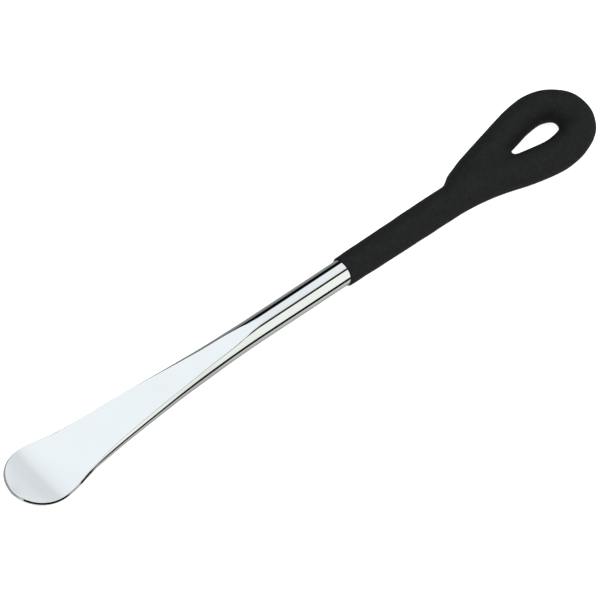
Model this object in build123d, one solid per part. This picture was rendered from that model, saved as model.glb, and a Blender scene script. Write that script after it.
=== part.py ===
"""Tyre lever: a forged steel spoon lever whose bar is bent back into an eye,
with a plastic coat dipped over the handle half.

Lever frame while modelling (mm): the shank's axis is X, with X = 0 just behind the
coat's lip and +X towards the eye. The eye lies in the XY plane and +Z is the side
that the blade's flat faces. The finished parts are then moved so that the origin
is the middle of the bounding box's underside.
"""
import os
from math import atan, cos, degrees, radians, sin

from build123d import *

# --- driving dimensions (mm, degrees) ---------------------------------------
BAR_DIAMETER = 10.4
BLADE_START_X = -45.0

# the forged flat: it leaves the round bar at BLADE_START_X and falls away evenly
FLAT_END_X = -100.0
FLAT_END_Z = 1.8

# the blade's body, station by station:
# x, half width towards -Y, half width towards +Y, top z, bottom z, corner radius
BODY_STATIONS = [
    (-41.0, 5.2, 5.2, 5.2, -5.2, 4.9),
    (-57.0, 5.4, 5.4, 4.95, -5.55, 4.6),
    (-71.0, 5.8, 5.75, 4.3, -5.9, 4.0),
    (-85.0, 6.5, 6.4, 3.4, -5.8, 3.3),
    (-100.0, 7.4, 7.0, 2.1, -5.9, 2.5),
    (-117.0, 8.4, 8.35, 0.15, -6.5, 1.9),
    (-130.0, 9.3, 9.4, -1.65, -6.8, 1.5),
    (-141.0, 10.3, 10.3, -3.1, -6.0, 1.1),
    (-150.0, 9.0, 9.0, -3.9, -5.4, 0.6),
]

# the spoon: a thin plate that carries the blade's top surface to the round tip
SPOON_THICKNESS = 1.4
SPOON_CENTRE_X = -154.8
SPOON_HALF_WIDTH = 13.75
SPOON_OFFSET_Y = 0.4
SPOON_TIP_LENGTH = 16.4
NECK_X = -128.0
NECK_HALF_WIDTH = 9.2
NECK_FLARE_ANGLE = 6.5
SPOON_TOP_LINE = [(-124.0, -0.8), (-134.0, -2.2), (-144.0, -3.4), (-155.5, -3.9), (-174.0, -2.4)]

# the eye: the bar swings out below the axis, round the far end and back to the shank
SWING_START_X = 54.3
SWING_OUT_RADIUS = 107.6
SWING_OUT_ANGLE = 16.1
SWING_BACK_RADIUS = 106.5
SWING_BACK_ANGLE = 9.8
LOWER_SHOULDER_RADIUS = 28.8
LOWER_SHOULDER_ANGLE = 32.3
EYE_END_RADIUS = 8.45
EYE_END_ANGLE = 113.7
UPPER_SHOULDER_RADIUS = 16.5
UPPER_SHOULDER_ANGLE = 40.3
RETURN_RADIUS = 48.6
RETURN_ANGLE = 13.1
RETURN_LENGTH = 35.9
SCARF_BITE = 0.15

# the tack weld that closes the eye, in the grooves above and below the scarf
WELD_RADIUS = 1.3
WELD_Y = 4.4
WELD_Z = 4.2
WELD_START_X = 64.5
WELD_LENGTH = 7.0

# the dipped coat: outer radii along the bar, and the web that fills the eye's narrow end
COAT_LIP_RADIUS = 5.95
COAT_SLEEVE_RADIUS = 6.28
COAT_FAR_RADIUS = 6.64
COAT_UPPER_RADIUS = 6.3
COAT_RETURN_RADIUS = 6.25
COAT_TAPER_LENGTH = 30.0
COAT_LIP_ROUNDING = 0.4
COAT_LIP_X = -1.0
COAT_STEP_LENGTH = 2.2
COAT_STEP_RADIUS = 5.6
WEB_HALF_THICKNESS = 4.6
WEB_CORNERS = [(63.0, -0.5), (92.0, -5.8), (92.0, 10.3), (63.0, 3.0)]
WEB_NOTCH_CENTRE = (91.9, 2.5)
WEB_NOTCH_RADIUS = 2.25

BAR_RADIUS = BAR_DIAMETER / 2
CUT_REACH = 40.0
FLAT_CUT_LENGTH = 120.0


def flat_angle():
    """Slope of the forged flat, in degrees."""
    return degrees(atan((BAR_RADIUS - FLAT_END_Z) / (BLADE_START_X - FLAT_END_X)))


def eye_path():
    """Centreline of the bar from the shank, round the eye, to the scarfed end."""
    shank = Line((BLADE_START_X, 0), (SWING_START_X, 0))
    out = JernArc(shank @ 1, shank % 1, SWING_OUT_RADIUS, -SWING_OUT_ANGLE)
    back = JernArc(out @ 1, out % 1, SWING_BACK_RADIUS, SWING_BACK_ANGLE)
    lower = JernArc(back @ 1, back % 1, LOWER_SHOULDER_RADIUS, LOWER_SHOULDER_ANGLE)
    end = JernArc(lower @ 1, lower % 1, EYE_END_RADIUS, EYE_END_ANGLE)
    upper = JernArc(end @ 1, end % 1, UPPER_SHOULDER_RADIUS, UPPER_SHOULDER_ANGLE)
    turn = JernArc(upper @ 1, upper % 1, RETURN_RADIUS, RETURN_ANGLE)
    home = Line(turn @ 1, (turn @ 1) + (turn % 1) * RETURN_LENGTH)
    return shank, out, back, lower, end, upper, turn, home


def tube(pieces, radius):
    """Round bar along joined path pieces."""
    path = Wire([piece.edge() for piece in pieces])
    start = Plane(origin=path @ 0, z_dir=path % 0)
    return sweep(start * Circle(radius), path=path)


def side_cut(line_top, line_bottom):
    """Closed side profile between two open lines, extruded across the lever."""
    tip = Line(line_top @ 1, line_bottom @ 1)
    heel = Line(line_bottom @ 0, line_top @ 0)
    profile = make_face(Wire([line_top.edge(), tip.edge(), line_bottom.edge(), heel.edge()]))
    return extrude(profile, CUT_REACH / 2, dir=(0, 1, 0), both=True)


def blade_body():
    """Flattened, widening bar: rounded-rectangle stations lofted from round to thin."""
    sections = []
    for x, near, far, top, bottom, corner in BODY_STATIONS:
        middle = (x, (far - near) / 2, (top + bottom) / 2)
        plane = Plane(origin=middle, x_dir=(0, 1, 0), z_dir=(1, 0, 0))
        sections.append(plane * RectangleRounded(near + far, top - bottom, corner))
    body = loft(sections)
    upwards = (Align.CENTER, Align.CENTER, Align.MIN)
    above_flat = Box(FLAT_CUT_LENGTH, CUT_REACH, CUT_REACH, align=upwards)
    place = Pos(BLADE_START_X, 0, BAR_RADIUS) * Rot(0, -flat_angle(), 0)
    return body - place * above_flat


def spoon_outline():
    """Plan outline: neck sides that flare into the round tip."""
    flare = radians(NECK_FLARE_ANGLE)
    sides = []
    for side in (1, -1):
        neck = Vector(NECK_X, side * NECK_HALF_WIDTH)
        shoulder = Vector(SPOON_CENTRE_X, SPOON_OFFSET_Y + side * SPOON_HALF_WIDTH)
        leave = Vector(-cos(flare), side * sin(flare))
        sides.append(Spline([neck, shoulder], tangents=[leave, Vector(-1, 0)]))
    tip_centre = (SPOON_CENTRE_X, SPOON_OFFSET_Y)
    tip = EllipticalCenterArc(
        tip_centre, SPOON_TIP_LENGTH, SPOON_HALF_WIDTH, start_angle=90, arc_size=180
    )
    back = Line((NECK_X, NECK_HALF_WIDTH), (NECK_X, -NECK_HALF_WIDTH))
    return make_face(Wire([sides[0].edge(), tip.edge(), sides[1].edge(), back.edge()]))


def spoon():
    """Thin spoon plate: the plan outline cut out of a curved sheet of even thickness."""
    top = Spline([Vector(x, 0, z) for x, z in SPOON_TOP_LINE])
    bottom = Spline([Vector(x, 0, z - SPOON_THICKNESS) for x, z in SPOON_TOP_LINE])
    sheet = side_cut(top, bottom)
    return sheet & extrude(spoon_outline(), CUT_REACH / 2, both=True)


def shank_band(pieces):
    """Upright band that follows the bar and is nearly as wide: what the scarf is cut to."""
    path = Wire([piece.edge() for piece in pieces])
    start = Plane(origin=path @ 0, x_dir=(0, 1, 0), z_dir=path % 0)
    return sweep(start * Rectangle(2 * (BAR_RADIUS - SCARF_BITE), CUT_REACH), path=path)


def forged_lever():
    """One steel bar: spoon, blade, shank and bent eye with its scarfed end."""
    *round_the_eye, home = eye_path()
    bar = tube(round_the_eye, BAR_RADIUS)
    scarf = tube([home], BAR_RADIUS) - shank_band(round_the_eye[:2])
    return bar + scarf + blade_body() + spoon()


def eye_weld(lever):
    """Two beads that lie in the grooves between the scarf and the shank."""
    beads = []
    for side in (1, -1):
        place = Pos(WELD_START_X, WELD_Y, side * WELD_Z) * Rot(0, 90, 0)
        along = (Align.CENTER, Align.CENTER, Align.MIN)
        beads.append(place * Cylinder(WELD_RADIUS, WELD_LENGTH, align=along))
    return beads[0] + beads[1] - lever


def coat_tube(pieces, start_radius, end_radius):
    """Round coat along joined path pieces, growing evenly from one radius to the other."""
    path = Wire([piece.edge() for piece in pieces])
    start = Plane(origin=path @ 0, z_dir=path % 0) * Circle(start_radius)
    end = Plane(origin=path @ 1, z_dir=path % 1) * Circle(end_radius)
    return sweep([start, end], path=path, multisection=True)


def coat_sleeve():
    """Straight front of the coat, with a rounded lip."""
    outline = Polyline(
        (COAT_LIP_X, 0),
        (COAT_LIP_X, COAT_LIP_RADIUS),
        (COAT_TAPER_LENGTH, COAT_SLEEVE_RADIUS),
        (SWING_START_X, COAT_SLEEVE_RADIUS),
        (SWING_START_X, 0),
        close=True,
    )
    sleeve = revolve(make_face(outline), Axis.X)
    lip = sleeve.edges().sort_by(Axis.X)[0]
    return fillet(lip, COAT_LIP_ROUNDING)


def coat_web():
    """Web of coat that fills the narrow end of the eye, with a rounded end."""
    corners = Polyline(*WEB_CORNERS, close=True)
    web = extrude(make_face(corners), WEB_HALF_THICKNESS, both=True)
    return web - Pos(*WEB_NOTCH_CENTRE) * Cylinder(WEB_NOTCH_RADIUS, CUT_REACH)


def dipped_grip(lever, weld):
    """The coat's outer shape, less the steel it covers."""
    shank, out, back, lower, end, upper, turn, home = eye_path()
    step = Line(home @ 1, (home @ 1) + (home % 1) * COAT_STEP_LENGTH)
    grip = coat_sleeve()
    grip += coat_tube([out, back, lower], COAT_SLEEVE_RADIUS, COAT_FAR_RADIUS)
    grip += coat_tube([end], COAT_FAR_RADIUS, COAT_UPPER_RADIUS)
    grip += coat_tube([upper, turn, home], COAT_UPPER_RADIUS, COAT_RETURN_RADIUS)
    grip += coat_tube([step], COAT_RETURN_RADIUS, COAT_STEP_RADIUS)
    grip += coat_web()
    return grip - lever - weld


def main():
    """Build every piece, stand the lever on its underside and write the files."""
    lever = forged_lever()
    weld = eye_weld(lever)
    parts = {"forged_lever": lever, "eye_weld": weld, "dipped_grip": dipped_grip(lever, weld)}
    box = Compound(list(parts.values())).bounding_box()
    stand = Pos(-box.center().X, -box.center().Y, -box.min.Z)
    os.makedirs("parts", exist_ok=True)
    for name, part in parts.items():
        export_step(stand * part, f"parts/{name}.step")


if __name__ == "__main__":
    main()
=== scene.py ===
"""Looks of the tyre lever: plated steel bar, dipped coat, studio light and camera.

Shapes are worked out in the lever frame, in millimetres: X runs along the shank with
X = 0 just behind the coat's lip and +X towards the eye, Z is up, and the shank's axis is
Y = Z = 0. They are moved to the row frame, in metres, when each mesh is made.
"""

import math

import bpy
import numpy as np
from mathutils import Matrix, Vector


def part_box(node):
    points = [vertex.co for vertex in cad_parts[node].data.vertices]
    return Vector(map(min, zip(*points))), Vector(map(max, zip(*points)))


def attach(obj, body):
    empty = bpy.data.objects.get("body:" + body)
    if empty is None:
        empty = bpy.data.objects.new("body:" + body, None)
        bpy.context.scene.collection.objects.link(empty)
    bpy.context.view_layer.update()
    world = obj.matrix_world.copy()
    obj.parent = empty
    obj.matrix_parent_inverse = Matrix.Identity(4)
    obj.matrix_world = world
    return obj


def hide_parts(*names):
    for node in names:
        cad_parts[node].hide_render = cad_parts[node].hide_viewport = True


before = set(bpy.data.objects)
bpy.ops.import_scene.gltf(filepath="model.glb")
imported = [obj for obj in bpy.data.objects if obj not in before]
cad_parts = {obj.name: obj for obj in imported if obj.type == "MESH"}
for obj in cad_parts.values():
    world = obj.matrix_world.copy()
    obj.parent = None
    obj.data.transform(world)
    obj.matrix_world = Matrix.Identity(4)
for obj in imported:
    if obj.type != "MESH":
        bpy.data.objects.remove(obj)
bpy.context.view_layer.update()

MM = 0.001

# --- driving dimensions (mm, degrees) --------------------------------------------
# the bar, the spoon's near width, the eye's arcs, the lip's X and the weld are as in the
# CAD model; the coat's radii and the spoon's tip are a little larger or smaller than there
BAR_RADIUS = 5.2
SPOON_CENTRE_X = -154.8
SPOON_TIP_LENGTH = 15.9
SPOON_NEAR_WIDTH = 13.35
SPOON_FAR_WIDTH = 14.0

SWING_START_X = 54.3
SWING_OUT_RADIUS = 107.6
SWING_OUT_ANGLE = 16.1
SWING_BACK_RADIUS = 106.5
SWING_BACK_ANGLE = 9.8
LOWER_SHOULDER_RADIUS = 28.8
LOWER_SHOULDER_ANGLE = 32.3
EYE_END_RADIUS = 8.45
EYE_END_ANGLE = 113.7
UPPER_SHOULDER_RADIUS = 16.5
UPPER_SHOULDER_ANGLE = 40.3
RETURN_RADIUS = 48.6
RETURN_ANGLE = 13.1
RETURN_LENGTH = 35.9
SCARF_BITE = 0.15

LIP_X = -1.0
COAT_LIP_RADIUS = 5.95
COAT_SLEEVE_RADIUS = 6.34
COAT_FAR_RADIUS = 6.8
COAT_UPPER_RADIUS = 6.4
COAT_RETURN_RADIUS = 6.32
COAT_TAPER_LENGTH = 40.0
COAT_STEP_LENGTH = 2.2
COAT_TAPERED_RADIUS = 5.65
COAT_TAPERED_LENGTH = 4.5
COAT_END_TAPER = 12.0
COAT_STEP_RADIUS = 4.7
WELD_RADIUS = 1.3
WELD_Y = 4.4
WELD_Z = 4.2
WELD_START_X = 64.5
WELD_LENGTH = 7.0

# --- the blade's shape along X: (x, value) stations -----------------------------
# the near side is -Y, where the forging keeps the bar's round side; the far side is +Y;
# widths are half widths, and each axis line is the height of a side's rounding centre
TOP_LINE = [
    (0, 8.0), (-45, 5.05), (-60.7, 3.9), (-74.5, 3.28), (-88.5, 2.55), (-102, 1.65), (-118, 0.05),
    (-129, -1.5), (-138, -2.85), (-147, -3.7), (-154.5, -3.92), (-161.5, -3.6), (-172, -2.5),
]
AXIS_LINE = [
    (0, 0), (-20, -0.2), (-45, -0.3), (-60.7, -0.43), (-74.5, -0.8), (-88.5, -0.95), (-102, -1.5),
    (-118, -2.9), (-125, -3.7), (-132, -4.2), (-139, -4.35), (-148, -4.2), (-157, -4.4),
    (-164, -4.1), (-172, -3.2),
]
NEAR_WIDTHS = [
    (-45, 5.2), (-60.7, 5.45), (-74.5, 5.95), (-88.5, 6.65), (-102, 7.5), (-118, 8.5), (-125, 9.0),
    (-132, 9.6), (-139, 10.4), (-144, 11.7), (-149, 12.75),
    (SPOON_CENTRE_X, SPOON_NEAR_WIDTH),
]
NEAR_RADII = [
    (-60.7, 5.2), (-74.5, 5.25), (-88.5, 4.75), (-102, 4.15), (-118, 4.15), (-125, 4.1),
    (-132, 3.45), (-139, 2.5), (-145, 1.0), (-151, 0.7), (-172, 0.65),
]
FAR_WIDTHS = [
    (-45, 5.2), (-60.7, 5.45), (-74.5, 5.95), (-81, 6.3), (-88.5, 6.5), (-102, 7.05), (-116, 8.3),
    (-123, 8.8), (-130, 9.6), (-137, 10.6), (-144, 12.3), (-149, 13.25),
    (SPOON_CENTRE_X, SPOON_FAR_WIDTH),
]
FAR_RADII = [
    (-60.7, 5.2), (-74.5, 5.2), (-81, 5.0), (-88.5, 4.2), (-95, 3.2), (-102, 2.2), (-116, 1.6),
    (-129, 1.3), (-137, 1.0), (-145, 0.8), (-151, 0.7), (-172, 0.65),
]
FAR_AXIS_LINE = [
    (0, 0), (-20, -0.2), (-45, -0.3), (-60.7, -0.43), (-74.5, -0.8), (-81, -0.8), (-88.5, -0.35),
    (-95, 0.2), (-102, 0.6), (-116, -0.45), (-129, -2.1), (-137, -3.1), (-145, -3.75),
    (-151, -4.15), (-157, -4.4), (-164, -4.1), (-172, -3.2),
]
UNDERSIDE = [
    (0, -5.2), (-20, -5.4), (-45, -5.5), (-60.7, -5.63), (-74.5, -6.0), (-88.5, -5.75),
    (-102, -5.9), (-118, -6.5), (-128, -6.8), (-134, -6.5), (-139, -5.8), (-143, -5.4),
    (-147, -5.25), (-152, -5.2), (-158, -5.35), (-165, -5.0), (-172, -4.0),
]
UNDER_RADII = [
    (-60.7, 5.2), (-74.5, 5.3), (-88.5, 5.0), (-102, 4.6), (-118, 4.0), (-129, 3.0), (-137, 1.9),
    (-145, 0.7), (-172, 0.55),
]
RIB_DEPTH = [(-119, 0), (-130, 0), (-136, 0.2), (-142, 0.9), (-148, 0.8), (-155, 0.35), (-163, 0)]
PROFILE_STEP = 0.25
PROFILE_BLUR = 2.5
PROFILE_REACH = 60.0
BLUR_WIDTHS = 4
CHUNK = 4000
TINY = 1e-6


# --- small helpers ---------------------------------------------------------------
def to_row(points):
    """Lever-frame millimetres to row-frame metres."""
    return np.asarray(points, float) * MM + np.array(ORIGIN)


def smoothstep(low, high, value):
    """Eases from 0 at low to 1 at high, and stays level past both."""
    share = np.clip((value - low) / (high - low), 0, 1)
    return share * share * (3 - 2 * share)


def smooth_min(a, b, blend):
    """The lower of two values, rounded off where they are within blend of each other."""
    share = np.maximum(blend - np.abs(a - b), 0) / np.maximum(blend, TINY)
    return np.minimum(a, b) - share**2 * blend / 4


def add_mesh(name, points, faces, material):
    """A smooth-shaded mesh object from lever-frame points."""
    mesh = bpy.data.meshes.new(name)
    mesh.from_pydata(to_row(points).tolist(), [], faces)
    mesh.polygons.foreach_set("use_smooth", [True] * len(mesh.polygons))
    mesh.materials.append(material)
    mesh.validate()
    mesh.update()
    piece = bpy.data.objects.new(name, mesh)
    bpy.context.scene.collection.objects.link(piece)
    return piece


class Profile:
    """A value along the blade: straight pieces between stations, softened by a blur."""

    def __init__(self, stations, mirror_at=None):
        xs, values = zip(*sorted(stations))
        grid = np.arange(xs[0] - PROFILE_REACH, xs[-1] + PROFILE_REACH, PROFILE_STEP)
        look = grid if mirror_at is None else mirror_at + np.abs(grid - mirror_at)
        raw = hermite(look, np.array(xs), np.array(values))
        half_span = BLUR_WIDTHS * PROFILE_BLUR
        span = np.arange(-half_span, half_span + PROFILE_STEP, PROFILE_STEP)
        weights = np.exp(-0.5 * (span / PROFILE_BLUR) ** 2)
        pad = len(span) // 2
        padded = np.concatenate(
            [raw[0] + np.arange(-pad, 0) * (raw[1] - raw[0]), raw,
             raw[-1] + np.arange(1, pad + 1) * (raw[-1] - raw[-2])]
        )
        self.grid = grid
        self.values = np.convolve(padded, weights / weights.sum(), "valid")

    def __call__(self, x):
        return np.interp(x, self.grid, self.values)


def hermite(x, xs, values):
    """Monotone cubic through the stations, running on level past both ends."""
    slopes = np.diff(values) / np.diff(xs)
    tangents = np.zeros(len(xs))
    for i in range(1, len(xs) - 1):
        if slopes[i - 1] * slopes[i] > 0:
            tangents[i] = 2 * slopes[i - 1] * slopes[i] / (slopes[i - 1] + slopes[i])
    i = np.clip(np.searchsorted(xs, x) - 1, 0, len(xs) - 2)
    width = xs[i + 1] - xs[i]
    t = np.clip((x - xs[i]) / width, 0, 1)
    return (
        (2 * t**3 - 3 * t**2 + 1) * values[i]
        + (t**3 - 2 * t**2 + t) * width * tangents[i]
        + (3 * t**2 - 2 * t**3) * values[i + 1]
        + (t**3 - t**2) * width * tangents[i + 1]
    )


# --- the bar's route round the eye ---------------------------------------------------
ROUTE_STEP = 0.4


class Route:
    """Centreline in the XY plane, made of straight runs and arcs, sampled evenly."""

    def __init__(self, start, heading):
        self.points = [np.array(start, float)]
        self.headings = [heading]
        self.marks = {}

    def run(self, name, length, turn=0.0):
        """Goes on for a length while the heading turns evenly by so many degrees."""
        steps = max(2, round(length / ROUTE_STEP))
        self.marks[name] = len(self.points) - 1
        start, heading = self.points[-1], self.headings[-1]
        bend = math.radians(turn) / length
        for i in range(1, steps + 1):
            along = length * i / steps
            if turn:
                x = (math.sin(heading + bend * along) - math.sin(heading)) / bend
                y = (math.cos(heading) - math.cos(heading + bend * along)) / bend
            else:
                x, y = along * math.cos(heading), along * math.sin(heading)
            self.points.append(start + (x, y))
            self.headings.append(heading + bend * along)

    def arc(self, name, radius, turn):
        """Goes on round an arc of so many degrees, positive to the left."""
        self.run(name, radius * math.radians(abs(turn)), turn)


def eye_route():
    """The bar from the coat's front edge, round the eye, to the scarfed end."""
    route = Route((0.0, 0.0), 0.0)
    route.run("shank", SWING_START_X)
    route.arc("out", SWING_OUT_RADIUS, -SWING_OUT_ANGLE)
    route.arc("back", SWING_BACK_RADIUS, SWING_BACK_ANGLE)
    route.arc("lower", LOWER_SHOULDER_RADIUS, LOWER_SHOULDER_ANGLE)
    route.arc("end", EYE_END_RADIUS, EYE_END_ANGLE)
    route.arc("upper", UPPER_SHOULDER_RADIUS, UPPER_SHOULDER_ANGLE)
    route.arc("turn", RETURN_RADIUS, RETURN_ANGLE)
    route.run("home", RETURN_LENGTH)
    route.run("step", COAT_STEP_LENGTH)
    return route


ROUTE = eye_route()
ROUTE_POINTS = np.array(ROUTE.points)
ROUTE_HEADINGS = np.array(ROUTE.headings)

# the route point at which the bar's scarfed end stops, and how the bar thins down to it:
# points before the end, and the bar's radius there as a share of its full radius
SCARF_SETBACK = 5
SCARF_END = ROUTE.marks["step"] - SCARF_SETBACK
SCARF_TAPER = ([-22, -14, -6, 0], [1.0, 0.95, 0.84, 0.7])


def lever_origin():
    """Where the lever frame's origin is in the row frame, in metres."""
    lever_low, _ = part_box("forged_lever")
    grip_low, grip_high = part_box("dipped_grip")
    lowest_y = min(ROUTE_POINTS[:, 1].min() - BAR_RADIUS, -SPOON_NEAR_WIDTH)
    middle_z = (grip_low.z + grip_high.z) / 2
    return Vector((grip_low.x - LIP_X * MM, lever_low.y - lowest_y * MM, middle_z))


ORIGIN = lever_origin()


# --- the steel lever ---------------------------------------------------------------
top_line = Profile(TOP_LINE)
axis_line = Profile(AXIS_LINE)
near_width = Profile(NEAR_WIDTHS, mirror_at=SPOON_CENTRE_X)
near_radius = Profile(NEAR_RADII)
far_width = Profile(FAR_WIDTHS, mirror_at=SPOON_CENTRE_X)
far_radius = Profile(FAR_RADII)
far_axis_line = Profile(FAR_AXIS_LINE)
underside = Profile(UNDERSIDE)
under_radius = Profile(UNDER_RADII)
rib_depth = Profile(RIB_DEPTH)

WALL_POINTS = 3
ARC_POINTS = 14
ARRIS_POINTS = 8
FLAT_POINTS = 9
QUARTER_POINTS = WALL_POINTS + ARC_POINTS + ARRIS_POINTS + FLAT_POINTS - 1
ARRIS_BLEND = 0.3
ARRIS_SHARE = 0.4
SIDE_SPREAD = 2
SIDE_LIMIT = 0.9
FLAT_SPREAD = 1.3
EYE_STEP = 1.2
BLADE_RING_STEP = 0.5
TIP_RINGS = 60
TIP_STOP_ANGLE = 89.2
MIN_SLANT = 0.15
OUTLINE_POINTS = 1500
OUTLINE_START_X = -110.0
DISH_DEPTH = 0.3
DISH_SPAN = (-128.0, -150.0)
RIB_FADE = (0.25, 0.9)
BEVEL_SPAN = (-135.0, -140.5)
BEVEL_HEIGHT = 1.15
BEVEL_STEEPNESS = (1.9, 2.75)
BEVEL_STEEPER_SPAN = (-143.5, -149.0)
BEVEL_CURL_SHARE = 0.3
RIM_EDGE = 0.12


def tip_share(x):
    """Half width as a share of the ellipse's, round the tip."""
    past = np.clip((SPOON_CENTRE_X - x) / SPOON_TIP_LENGTH, 0, 1)
    return np.sqrt(1 - past**2)


def outline(width, x):
    """Half width of one side of the plan outline: the flare, then an ellipse round the tip."""
    return width(np.maximum(x, SPOON_CENTRE_X)) * tip_share(x)


def edge_distance(width, x, y):
    """Distance in plan from points of the blade to its outline on one side."""
    angle = np.linspace(0, math.pi / 2, OUTLINE_POINTS)
    tip_x = SPOON_CENTRE_X - SPOON_TIP_LENGTH * np.sin(angle)
    flare_x = np.linspace(SPOON_CENTRE_X, OUTLINE_START_X, OUTLINE_POINTS)
    outline_x = np.concatenate([tip_x, flare_x])
    outline_y = outline(width, outline_x)
    nearest = np.empty(x.size)
    for start in range(0, x.size, CHUNK):
        part = slice(start, start + CHUNK)
        dx = x.ravel()[part, None] - outline_x
        dy = y.ravel()[part, None] - outline_y
        nearest[part] = np.sqrt((dx * dx + dy * dy).min(axis=1))
    return nearest.reshape(x.shape)


def blade_stations():
    """X of each ring from the coat's edge to the tip, closer together round the tip."""
    straight = np.arange(0, SPOON_CENTRE_X, -BLADE_RING_STEP)
    angle = np.radians(np.linspace(0, TIP_STOP_ANGLE, TIP_RINGS))
    return np.concatenate([straight, SPOON_CENTRE_X - SPOON_TIP_LENGTH * np.sin(angle)])


def inward_steps(x, width, arris):
    """Plan distances from one side's edge to its middle: side, arris, then flat."""
    half = np.minimum(ARRIS_BLEND, ARRIS_SHARE * arris)
    slant = np.maximum(tip_share(x), MIN_SLANT)
    squeeze = np.minimum(1, SIDE_LIMIT * width * slant / (arris + half))
    side = (arris - half) * np.linspace(0, 1, ARC_POINTS) ** SIDE_SPREAD * squeeze
    over = (arris + half * np.linspace(-1, 1, ARRIS_POINTS + 1)[1:]) * squeeze
    inner = (arris + half) * squeeze
    spread = np.linspace(0, 1, FLAT_POINTS + 1)[1:] ** FLAT_SPREAD
    flat = inner + (width * slant - inner) * spread
    return np.concatenate([side, over, flat], axis=1) / slant


def blade_side(width, radius, axis, x):
    """One side's upper and lower quarters from its edge to the middle: y, top z and low z."""
    half_width = outline(width, x)
    level = top_line(x)
    turn = np.arccos(np.clip((level - axis(x)) / radius(x), 0, 1))
    bevelled = smoothstep(*BEVEL_SPAN, x)
    steeper = smoothstep(*BEVEL_STEEPER_SPAN, x)
    steepness = BEVEL_STEEPNESS[0] * (1 - steeper) + BEVEL_STEEPNESS[1] * steeper
    arris = radius(x) * (1 - np.sin(turn)) * (1 - bevelled) + BEVEL_HEIGHT / steepness * bevelled
    y = np.maximum(half_width - inward_steps(x, half_width, arris), 0)
    to_outline = edge_distance(width, np.broadcast_to(x, y.shape), y)
    depth = np.where(x < OUTLINE_START_X, to_outline, half_width - y)
    share = y / np.maximum(half_width, TINY)
    dish = DISH_DEPTH * smoothstep(*DISH_SPAN, x) * (share**2 - 1)
    bend = np.maximum(radius(x) - depth, 0)
    rounded = axis(x) + np.sqrt(np.maximum(radius(x) ** 2 - bend**2, 0))
    bevel = level - BEVEL_HEIGHT + steepness * depth
    side = rounded * (1 - bevelled) + bevel * bevelled
    top = smooth_min(side, level + dish, ARRIS_BLEND)
    under = np.maximum(under_radius(x) - depth, 0)
    rib = rib_depth(x) * (1 - smoothstep(*RIB_FADE, share))
    curl = under_radius(x) - np.sqrt(np.maximum(under_radius(x) ** 2 - under**2, 0))
    curl = curl * (1 - bevelled) + BEVEL_CURL_SHARE * curl * bevelled
    low = underside(x) - rib + dish + curl
    low = np.minimum(low, top - RIM_EDGE)
    middle = (top[:, :1] + low[:, :1]) / 2
    wall = np.linspace(0, 1, WALL_POINTS + 1)[:-1]
    top = np.concatenate([middle + (top[:, :1] - middle) * wall, top], axis=1)
    low = np.concatenate([middle + (low[:, :1] - middle) * wall, low], axis=1)
    y = np.concatenate([np.repeat(y[:, :1], WALL_POINTS, axis=1), y], axis=1)
    return y, top, low


def blade_rings():
    """Rings of the shank, blade and spoon, shaped (rings, points, 3)."""
    x = blade_stations()[:, None]
    far_y, far_top, far_low = blade_side(far_width, far_radius, far_axis_line, x)
    near_y, near_top, near_low = blade_side(near_width, near_radius, axis_line, x)
    along = np.broadcast_to(x, far_y.shape)
    quarters = [
        np.stack([along, far_y, far_top], -1)[:, :-1],
        np.stack([along, -near_y, near_top], -1)[:, :0:-1],
        np.stack([along, -near_y, near_low], -1)[:, :-1],
        np.stack([along, far_y, far_low], -1)[:, :0:-1],
    ]
    return np.concatenate(quarters, axis=1)


def bar_share(index):
    """The bar's radius at points of the route, as a share of its full radius."""
    return np.interp(index - SCARF_END, *SCARF_TAPER)


def bar_rings(first, last, step):
    """Round rings along the route between two of its points."""
    picks = np.unique(np.append(np.arange(first, last, step), last))
    angle = np.arange(4 * QUARTER_POINTS) * (math.pi / 2 / QUARTER_POINTS)
    heading = ROUTE_HEADINGS[picks][:, None]
    radius = BAR_RADIUS * bar_share(picks)[:, None]
    across = radius * np.cos(angle)[None, :]
    x = ROUTE_POINTS[picks, 0][:, None] - np.sin(heading) * across
    y = ROUTE_POINTS[picks, 1][:, None] + np.cos(heading) * across
    z = radius * np.sin(angle)[None, :]
    return np.stack([x, y, z], -1)


def scarf(rings):
    """Presses the bar's end flat where it lies on the shank."""
    centre = np.array([SWING_START_X, -SWING_OUT_RADIUS])
    away = rings[..., :2] - centre
    away[..., 0] = np.maximum(away[..., 0], 0)
    distance = np.linalg.norm(away, axis=-1)
    limit = SWING_OUT_RADIUS + BAR_RADIUS - SCARF_BITE
    push = np.maximum(limit / distance - 1, 0)[..., None] * away
    pressed = rings.copy()
    pressed[..., :2] += push
    return pressed


def skin(rings):
    """Points and faces of a closed tube with end caps from rings shaped (rings, points, 3)."""
    count, around, _ = rings.shape
    index = np.arange(count * around).reshape(count, around)
    beside = np.roll(index, -1, axis=1)
    quads = np.stack([index[:-1], beside[:-1], beside[1:], index[1:]], -1).reshape(-1, 4)
    caps = [index[0].tolist()[::-1], index[-1].tolist()]
    return rings.reshape(-1, 3), quads.tolist() + caps


def steel_lever(material):
    """One closed mesh: spoon, blade, shank and the bar round the eye to its scarfed end."""
    home = ROUTE.marks["home"]
    step = round(EYE_STEP / ROUTE_STEP)
    around = bar_rings(step, home, step)
    end = bar_rings(home + step, SCARF_END, step)
    rings = np.concatenate([blade_rings()[::-1], around, scarf(end)])
    points, faces = skin(rings)
    return add_mesh("steel_lever", points, faces, material)


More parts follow.
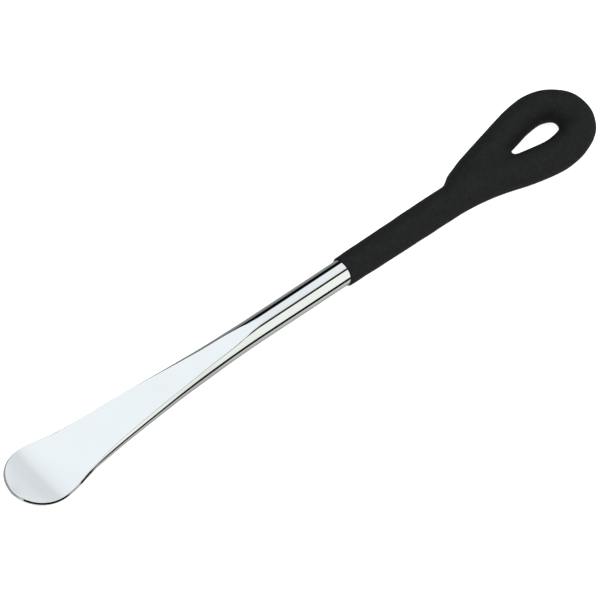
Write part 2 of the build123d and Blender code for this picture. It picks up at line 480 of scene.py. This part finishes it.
# --- the dipped coat ---------------------------------------------------------------
PLAN_STEP = 0.25
PLAN_X = (-6.0, 136.0)
PLAN_Y = (-24.0, 28.0)
LAST_CELL = 1.001
COAT_GRID = 0.52
COAT_LIP_GRID = 0.12
COAT_LIP_X = (-1.7, 0.4)
COAT_X = (0.4, 131.5)
COAT_Y = (-17.5, 21.5)
COAT_Z = (-7.6, 7.6)
BORE_RADIUS = 5.18
LIP_BLEND = 0.5
LIP_LEAN = 0.018
WEB_BLEND = 4.5
WEB_FADE = (88.0, 106.0)
WEB_FILL = ((64.0, 1.7), (83.3, 3.1))
WEB_FILL_RADIUS = 3.9
END_ROUNDING = 4.0
FAR_AWAY = 99.0
POOL_CENTRE = (118.7, 2.1)
POOL_RADIUS = 4.0
POOL_BLEND = 3.0
LUMP_SIZE = 0.05
# pairs of crossed sine waves: share, then each wave's radians a millimetre and its start
LUMP_WAVES = (
    (1.0, ((0.31, 0.23, 0), 1.3), ((-0.17, 0.52, 0), 0.4)),
    (0.7, ((0.37, 0, 0.83), 0.0), ((0.29, 0.61, 0), 2.1 + math.pi / 2)),
)
SETTLE_ROUNDS = 4
SETTLE_STEP = COAT_GRID / 3
LEAST_SLOPE = 0.25
PROBE = 0.03


class PlanGrid:
    """Values worked out once on a fine grid in plan and read back in between."""

    def __init__(self, function):
        self.x = np.arange(PLAN_X[0], PLAN_X[1], PLAN_STEP)
        self.y = np.arange(PLAN_Y[0], PLAN_Y[1], PLAN_STEP)
        plan = np.stack(np.meshgrid(self.x, self.y, indexing="ij"), -1)
        self.values = function(plan.reshape(-1, 2)).reshape(len(self.x), len(self.y), -1)

    def __call__(self, x, y):
        u = np.clip((x - self.x[0]) / PLAN_STEP, 0, len(self.x) - LAST_CELL)
        v = np.clip((y - self.y[0]) / PLAN_STEP, 0, len(self.y) - LAST_CELL)
        i, j = u.astype(int), v.astype(int)
        u, v = (u - i)[..., None], (v - j)[..., None]
        rows = self.values
        low = rows[i, j] * (1 - u) + rows[i + 1, j] * u
        high = rows[i, j + 1] * (1 - u) + rows[i + 1, j + 1] * u
        return low * (1 - v) + high * v


def limb(first, last, radii):
    """Four values in plan for a stretch of the route: the distance to it, the radius there,
    how far past its end a point is (-1 before it), and the distance square to its heading."""
    route = ROUTE_POINTS[first:last + 1]
    heading = ROUTE_HEADINGS[first:last + 1]
    tangent = np.stack([np.cos(heading), np.sin(heading)], -1)
    radius = np.interp(np.arange(first, last + 1), *radii)

    def measure(plan):
        results = []
        for start in range(0, len(plan), CHUNK):
            part = plan[start:start + CHUNK]
            gap = part[:, None] - route[None]
            nearest = (gap**2).sum(-1).argmin(1)
            offset = gap[np.arange(len(part)), nearest]
            along = (offset * tangent[nearest]).sum(-1)
            side = offset - along[:, None] * tangent[nearest]
            at_start, at_end = nearest == 0, nearest == len(route) - 1
            free = np.where(at_start, np.minimum(along, 0), 0) * (first > 0)
            free = np.where(at_end, np.maximum(along, 0), free)
            beside = np.linalg.norm(side, axis=-1)
            past = np.where(at_end, along, -1)
            values = [np.hypot(beside, free), radius[nearest], past, beside]
            results.append(np.stack(values, -1))
        return np.concatenate(results)

    return PlanGrid(measure)


def coat_field():
    """Signed distance to the coat: below zero inside it."""
    marks = ROUTE.marks
    middle = (marks["end"] + marks["upper"]) // 2
    last = len(ROUTE_POINTS) - 1
    taper = round(COAT_TAPER_LENGTH / ROUTE_STEP)
    middle_radius = (COAT_FAR_RADIUS + COAT_UPPER_RADIUS) / 2
    out_radii = (
        [0, taper, marks["out"], marks["end"], middle],
        [COAT_LIP_RADIUS, COAT_SLEEVE_RADIUS, COAT_SLEEVE_RADIUS, COAT_FAR_RADIUS, middle_radius],
    )
    narrowing = last - round(COAT_END_TAPER / ROUTE_STEP)
    narrow = last - round(COAT_TAPERED_LENGTH / ROUTE_STEP)
    home_radii = (
        [middle, marks["upper"], marks["home"], narrowing, narrow, last],
        [middle_radius, COAT_UPPER_RADIUS, COAT_RETURN_RADIUS, COAT_RETURN_RADIUS,
         COAT_TAPERED_RADIUS, COAT_STEP_RADIUS],
    )
    outward = limb(0, middle, out_radii)
    homeward = limb(middle, last, home_radii)
    bore_index = np.arange(middle, SCARF_END + 1)
    scarf_end = limb(middle, SCARF_END, (bore_index, BORE_RADIUS * bar_share(bore_index)))
    fill_start, fill_end = np.array(WEB_FILL)
    fill_length = np.linalg.norm(fill_end - fill_start)
    fill_along = (fill_end - fill_start) / fill_length
    end_heading = np.array([math.cos(ROUTE_HEADINGS[-1]), math.sin(ROUTE_HEADINGS[-1])])

    def field(p):
        x, y, z = p[..., 0], p[..., 1], p[..., 2]
        out, home, steel = outward(x, y), homeward(x, y), scarf_end(x, y)
        out_gap = np.hypot(out[..., 0], z)
        home_gap = np.hypot(np.where(home[..., 2] > 0, home[..., 3], home[..., 0]), z)
        past_end = (p[..., :2] - ROUTE_POINTS[-1]) @ end_heading
        blend = WEB_BLEND * (1 - smoothstep(*WEB_FADE, x))
        home_skin = -smooth_min(home[..., 1] - home_gap, -past_end, END_ROUNDING)
        skin_gap = smooth_min(out_gap - out[..., 1], home_skin, blend)
        from_fill = p[..., :2] - fill_start
        reach = np.clip(from_fill @ fill_along, 0, fill_length)
        fill = np.linalg.norm(from_fill - reach[..., None] * fill_along, axis=-1)
        skin_gap = smooth_min(skin_gap, np.hypot(fill, z) - WEB_FILL_RADIUS, blend)
        pool = np.hypot(np.hypot(x - POOL_CENTRE[0], y - POOL_CENTRE[1]), z)
        skin_gap = smooth_min(skin_gap, pool - POOL_RADIUS, POOL_BLEND)
        skin_gap = skin_gap + lumps(p)
        lip_x = LIP_X + LIP_LEAN * np.maximum(y, 0) ** 2
        skin_gap = -smooth_min(-skin_gap, x - lip_x, LIP_BLEND)
        steel_gap = np.hypot(steel[..., 0], z) - steel[..., 1]
        scarf_gap = np.where(steel[..., 2] > 0, FAR_AWAY, steel_gap)
        bore = np.minimum(out_gap - BORE_RADIUS, scarf_gap)
        weld_ends = np.maximum(WELD_START_X - x, x - WELD_START_X - WELD_LENGTH)
        weld = np.maximum(np.hypot(y - WELD_Y, np.abs(z) - WELD_Z) - WELD_RADIUS, weld_ends)
        return np.maximum(skin_gap, np.maximum(-bore, -weld))

    return field


def lumps(p):
    """Slow unevenness of a dipped skin, in mm."""
    total = 0
    for share, *waves in LUMP_WAVES:
        first, second = (np.sin(p @ np.array(turns) + start) for turns, start in waves)
        total = total + share * first * second
    return LUMP_SIZE * total


def surface_net(values, axes):
    """Points and quads of the surface where a field on a box grid is zero."""
    inside = values < 0
    cells = np.array(values.shape) - 1
    total = np.zeros((*cells, 3))
    count = np.zeros(cells)
    quads = []
    for axis in range(3):
        low = np.argwhere(np.diff(inside, axis=axis))
        high = low.copy()
        high[:, axis] += 1
        start, end = values[tuple(low.T)], values[tuple(high.T)]
        share = (start / (start - end))[:, None]
        spot_low = np.stack([axes[a][low[:, a]] for a in range(3)], -1)
        spot_high = np.stack([axes[a][high[:, a]] for a in range(3)], -1)
        spot = spot_low * (1 - share) + spot_high * share
        first, second = [a for a in range(3) if a != axis]
        ring = []
        for a, b in ((0, 0), (-1, 0), (-1, -1), (0, -1)):
            cell = low.copy()
            cell[:, first] += a
            cell[:, second] += b
            np.add.at(total, tuple(cell.T), spot)
            np.add.at(count, tuple(cell.T), 1)
            ring.append(np.ravel_multi_index(tuple(cell.T), cells))
        ring = np.stack(ring, -1)
        flip = (start > 0) ^ (axis == 1)
        ring[flip] = ring[flip][:, ::-1]
        quads.append(ring)
    quads = np.concatenate(quads)
    used, quads = np.unique(quads, return_inverse=True)
    points = total.reshape(-1, 3)[used] / count.ravel()[used, None]
    return points, quads.reshape(-1, 4)


def weld_pinches(points, quads):
    """Joins the two ends of every edge that more than two faces share."""
    edges = np.sort(np.stack([quads, np.roll(quads, -1, axis=1)], -1).reshape(-1, 2), axis=1)
    pairs, uses = np.unique(edges, axis=0, return_counts=True)
    target = np.arange(len(points))
    for low, high in pairs[uses > 2]:
        target[target == target[high]] = target[low]
    kept, target = np.unique(target, return_inverse=True)
    faces = [list(dict.fromkeys(face)) for face in target[quads].tolist()]
    return points[kept], [face for face in faces if len(face) > 2]


def settle(points, field):
    """Moves points straight on to the surface where the field is zero."""
    for _ in range(SETTLE_ROUNDS):
        value = field(points)
        slope = np.stack(
            [field(points + step) - field(points - step) for step in PROBE * np.eye(3)], -1
        ) / (2 * PROBE)
        steep = np.maximum((slope**2).sum(-1), LEAST_SLOPE)
        move = np.clip(value / steep, -SETTLE_STEP, SETTLE_STEP)
        points = points - move[:, None] * slope
    return points


def dipped_coat(material):
    """The coat as a real shell: rounded lip, sleeve, eye and the web in its narrow end."""
    axes = (
        np.concatenate([np.arange(*COAT_LIP_X, COAT_LIP_GRID), np.arange(*COAT_X, COAT_GRID)]),
        np.arange(*COAT_Y, COAT_GRID),
        np.arange(*COAT_Z, COAT_GRID),
    )
    field = coat_field()
    values = field(np.stack(np.meshgrid(*axes, indexing="ij"), -1))
    points, faces = weld_pinches(*surface_net(values, axes))
    return add_mesh("dipped_coat", settle(points, field), faces, material)


# --- materials ---------------------------------------------------------------------
def color_ramp(tree, source, stops):
    """A ramp's colour, from stops of (position, linear colour) in rising order."""
    node = tree.nodes.new("ShaderNodeValToRGB")
    elements = node.color_ramp.elements
    while len(elements) < len(stops):
        elements.new(1.0)
    for element, (position, color) in zip(elements, stops):
        element.position = position
        element.color = (*color, 1)
    tree.links.new(source, node.inputs["Fac"])
    return node.outputs["Color"]


class Nodes:
    """Short calls for building one material's nodes around its Principled shader."""

    def __init__(self, name):
        self.material = bpy.data.materials.new(name)
        self.material.use_nodes = True
        self.tree = self.material.node_tree
        self.shader = self.tree.nodes["Principled BSDF"]
        self.place = self.tree.nodes.new("ShaderNodeTexCoord").outputs["Object"]

    def join(self, source, target):
        self.tree.links.new(source, target)

    def stretched(self, scale):
        """Object coordinates scaled per axis, in cycles a metre."""
        mapping = self.tree.nodes.new("ShaderNodeMapping")
        mapping.inputs["Scale"].default_value = scale
        self.join(self.place, mapping.inputs["Vector"])
        return mapping.outputs["Vector"]

    def noise(self, scale, detail, roughness=0.5, vector=None):
        """Noise at so many cycles a metre, or a cycle each unit of the vector given."""
        node = self.tree.nodes.new("ShaderNodeTexNoise")
        node.inputs["Scale"].default_value = scale
        node.inputs["Detail"].default_value = detail
        node.inputs["Roughness"].default_value = roughness
        self.join(vector or self.place, node.inputs["Vector"])
        return node.outputs["Fac"]

    def pebbles(self, scale):
        """Soft round cells, so many a metre."""
        node = self.tree.nodes.new("ShaderNodeTexVoronoi")
        node.feature = "SMOOTH_F1"
        node.inputs["Scale"].default_value = scale
        self.join(self.place, node.inputs["Vector"])
        return node.outputs["Distance"]

    def span(self, source, between, to):
        """A value mapped straight from one range on to another."""
        node = self.tree.nodes.new("ShaderNodeMapRange")
        for name, value in zip(("From Min", "From Max", "To Min", "To Max"), (*between, *to)):
            node.inputs[name].default_value = value
        self.join(source, node.inputs["Value"])
        return node.outputs["Result"]

    def colors(self, source, *stops):
        """Base colour from a value."""
        self.join(color_ramp(self.tree, source, stops), self.shader.inputs["Base Color"])

    def bump(self, height, distance, strength, normal=None):
        """A normal from a height, over an earlier normal if there is one; metres."""
        node = self.tree.nodes.new("ShaderNodeBump")
        node.inputs["Strength"].default_value = strength
        node.inputs["Distance"].default_value = distance
        self.join(height, node.inputs["Height"])
        if normal:
            self.join(normal, node.inputs["Normal"])
        return node.outputs["Normal"]

    def set(self, **values):
        """Constants on the shader's own sockets."""
        for name, value in values.items():
            self.shader.inputs[name.replace("_", " ")].default_value = value


def plated_steel():
    """Bright chrome plate over forged and polished steel."""
    nodes = Nodes("plated_steel")
    tint = nodes.noise(scale=60, detail=4)
    nodes.colors(tint, (0.3, (0.915, 0.922, 0.925)), (0.7, (0.945, 0.947, 0.942)))
    haze = nodes.noise(scale=240, detail=5, roughness=0.6)
    roughness = nodes.span(haze, between=(0.3, 0.75), to=(0.03, 0.075))
    nodes.join(roughness, nodes.shader.inputs["Roughness"])
    forging = nodes.bump(nodes.noise(scale=45, detail=2), distance=0.00006, strength=0.35)
    lines = nodes.noise(scale=1, detail=2, vector=nodes.stretched((70, 1900, 1900)))
    polish = nodes.bump(lines, distance=0.000002, strength=0.5, normal=forging)
    nodes.join(polish, nodes.shader.inputs["Normal"])
    nodes.set(Metallic=1.0)
    return nodes.material


def dipped_plastic():
    """Matt black PVC with the fine pebble of a dipped skin."""
    nodes = Nodes("dipped_plastic")
    mottle = nodes.noise(scale=420, detail=4, roughness=0.65)
    nodes.colors(mottle, (0.3, (0.0037, 0.0043, 0.0043)), (0.7, (0.0067, 0.0072, 0.0070)))
    patches = nodes.noise(scale=900, detail=3)
    roughness = nodes.span(patches, between=(0.3, 0.7), to=(0.62, 0.82))
    nodes.join(roughness, nodes.shader.inputs["Roughness"])
    pebble = nodes.bump(nodes.pebbles(scale=1900), distance=0.00012, strength=0.5)
    fine = nodes.noise(scale=3200, detail=3)
    grain = nodes.bump(fine, distance=0.00005, strength=0.5, normal=pebble)
    nodes.join(grain, nodes.shader.inputs["Normal"])
    nodes.set(Specular_IOR_Level=0.25)
    return nodes.material


def weld_steel():
    """Bare weld bead with a faint ripple and heat tint."""
    nodes = Nodes("weld_steel")
    heat = nodes.noise(scale=500, detail=3)
    nodes.colors(heat, (0.3, (0.30, 0.28, 0.27)), (0.7, (0.46, 0.44, 0.42)))
    scale_marks = nodes.noise(scale=1500, detail=3)
    roughness = nodes.span(scale_marks, between=(0.3, 0.7), to=(0.35, 0.55))
    nodes.join(roughness, nodes.shader.inputs["Roughness"])
    ripple = nodes.noise(scale=1, detail=2, vector=nodes.stretched((1400, 300, 300)))
    beads = nodes.bump(ripple, distance=0.0001, strength=0.6)
    nodes.join(beads, nodes.shader.inputs["Normal"])
    nodes.set(Metallic=1.0)
    return nodes.material


# --- studio ------------------------------------------------------------------------
def grey(level):
    """Linear light for an sRGB level from 0 to 255."""
    share = level / 255
    return ((share + 0.055) / 1.055) ** 2.4 if share > 0.04045 else share / 12.92


# light round the lever's length: (degrees from straight up towards -Y, sRGB levels)
LIGHT_BANDS = [
    (-180, (150, 150, 151)), (-125, (150, 150, 151)), (-110, (146, 146, 148)),
    (-90, (128, 128, 130)), (-87, (100, 100, 102)), (-85, (8, 8, 9)), (-54.5, (8, 8, 9)),
    (-52.5, (236, 243, 247)), (-8, (238, 244, 247)), (13, (231, 235, 236)),
    (14.5, (26, 28, 28)), (28, (26, 28, 28)), (30, (245, 249, 243)), (96, (245, 249, 243)),
    (98, (16, 18, 16)), (120, (16, 18, 16)), (122, (202, 204, 202)), (154, (178, 179, 178)),
    (180, (150, 150, 151)),
]
BAND_GAIN = 1.06
# the soft boxes dim towards the eye's end: (the light's direction along +X, gain)
LENGTH_GAIN = [
    (0.0, 1.0), (0.41, 1.0), (0.49, 0.93), (0.545, 0.79), (0.61, 0.79), (0.67, 0.84),
    (0.72, 0.88),
]
BACKDROP = (0.95, 0.95, 0.95, 1)


def studio_world():
    """Soft boxes and dark gaps that run along the lever, against a plain pale backdrop."""
    world = bpy.data.worlds.new("studio")
    bpy.context.scene.world = world
    world.use_nodes = True
    tree = world.node_tree
    direction = tree.nodes.new("ShaderNodeTexCoord").outputs["Generated"]
    split = tree.nodes.new("ShaderNodeSeparateXYZ")
    tree.links.new(direction, split.inputs[0])
    turned = math_node(tree, "MULTIPLY", split.outputs["Y"], -1.0)
    angle = math_node(tree, "ARCTAN2", turned, split.outputs["Z"])
    turn = math_node(tree, "MULTIPLY_ADD", angle, 1 / (2 * math.pi), 0.5)
    bands = [
        (degrees / 360 + 0.5, [grey(level) * BAND_GAIN for level in levels])
        for degrees, levels in LIGHT_BANDS
    ]
    gains = [(position, (gain, gain, gain)) for position, gain in LENGTH_GAIN]
    around = color_ramp(tree, turn, bands)
    along = color_ramp(tree, split.outputs["X"], gains)
    lit = tree.nodes.new("ShaderNodeMix")
    lit.data_type = "RGBA"
    lit.blend_type = "MULTIPLY"
    lit.inputs["Factor"].default_value = 1.0
    tree.links.new(around, lit.inputs["A"])
    tree.links.new(along, lit.inputs["B"])
    backdrop = tree.nodes.new("ShaderNodeMix")
    backdrop.data_type = "RGBA"
    seen = tree.nodes.new("ShaderNodeLightPath").outputs["Is Camera Ray"]
    tree.links.new(seen, backdrop.inputs["Factor"])
    tree.links.new(lit.outputs["Result"], backdrop.inputs["A"])
    backdrop.inputs["B"].default_value = BACKDROP
    tree.links.new(backdrop.outputs["Result"], tree.nodes["Background"].inputs["Color"])


def math_node(tree, operation, first, *rest):
    """A maths node's output; plain numbers go on its sockets, the rest is linked."""
    node = tree.nodes.new("ShaderNodeMath")
    node.operation = operation
    for socket, value in zip(node.inputs, (first, *rest)):
        if isinstance(value, float):
            socket.default_value = value
        else:
            tree.links.new(value, socket)
    return node.outputs[0]


FLOOR_SIZE = 60.0
FLOOR_GREY = 0.35
FLOOR_PALER = 0.37
FLOOR_GLOW = 0.92
KEY_STRENGTH = 2.6
KEY_ANGLE = 60


def floor():
    """Large pale floor that the lever stands on; the plating doesn't mirror it."""
    nodes = Nodes("pale_floor")
    shade = nodes.noise(scale=3, detail=2)
    nodes.colors(shade, (0.3, (FLOOR_GREY,) * 3), (0.7, (FLOOR_PALER,) * 3))
    nodes.set(Roughness=0.9, Specular_IOR_Level=0.0)
    nodes.set(Emission_Color=(1, 1, 1, 1), Emission_Strength=FLOOR_GLOW)
    half = FLOOR_SIZE / 2
    corners = [(-half, -half, 0), (half, -half, 0), (half, half, 0), (-half, half, 0)]
    mesh = bpy.data.meshes.new("floor")
    mesh.from_pydata(corners, [], [(0, 1, 2, 3)])
    mesh.materials.append(nodes.material)
    plane = bpy.data.objects.new("floor", mesh)
    plane.visible_glossy = False
    bpy.context.scene.collection.objects.link(plane)


def key_light():
    """One broad soft light from straight above."""
    light = bpy.data.lights.new("key", "SUN")
    light.energy = KEY_STRENGTH
    light.angle = math.radians(KEY_ANGLE)
    lamp = bpy.data.objects.new("key", light)
    lamp.visible_glossy = False
    bpy.context.scene.collection.objects.link(lamp)


# --- camera ------------------------------------------------------------------------
VIEW_BACK = Vector((-0.49, -0.33, 0.807))
VIEW_TILT = 33.22
LENS = 1500.0
SENSOR = 36.0
FRAME_WIDTH = 227.8
FRAME_CENTRE = (-16.68, -10.95)
CLIP_END = 100


def camera():
    """Long lens from above the spoon end, with the shank running up to the right."""
    back = VIEW_BACK.normalized()
    along = (Vector((1, 0, 0)) - back * back.x).normalized()
    across = back.cross(along)
    tilt = math.radians(VIEW_TILT)
    right = math.cos(tilt) * along - math.sin(tilt) * across
    up = math.sin(tilt) * along + math.cos(tilt) * across
    target = ORIGIN + (right * FRAME_CENTRE[0] + up * FRAME_CENTRE[1]) * MM
    place = target + back * (LENS * FRAME_WIDTH / SENSOR * MM)
    data = bpy.data.cameras.new("camera")
    data.lens = LENS
    data.sensor_width = SENSOR
    data.clip_end = CLIP_END
    eye = bpy.data.objects.new("camera", data)
    eye.matrix_world = Matrix.Translation(place) @ Matrix((right, up, back)).transposed().to_4x4()
    bpy.context.scene.collection.objects.link(eye)
    bpy.context.scene.camera = eye


# --- put together ------------------------------------------------------------------
def main():
    """Builds the visible pieces over the CAD nodes, then the studio round them."""
    bar = steel_lever(plated_steel())
    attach(bar, "root")
    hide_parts("forged_lever")

    coat = dipped_coat(dipped_plastic())
    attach(coat, "root")
    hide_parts("dipped_grip")

    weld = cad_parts["eye_weld"]
    weld.data.materials.clear()
    weld.data.materials.append(weld_steel())

    floor()
    studio_world()
    key_light()
    camera()
    bpy.context.scene.view_settings.view_transform = "Standard"


main()
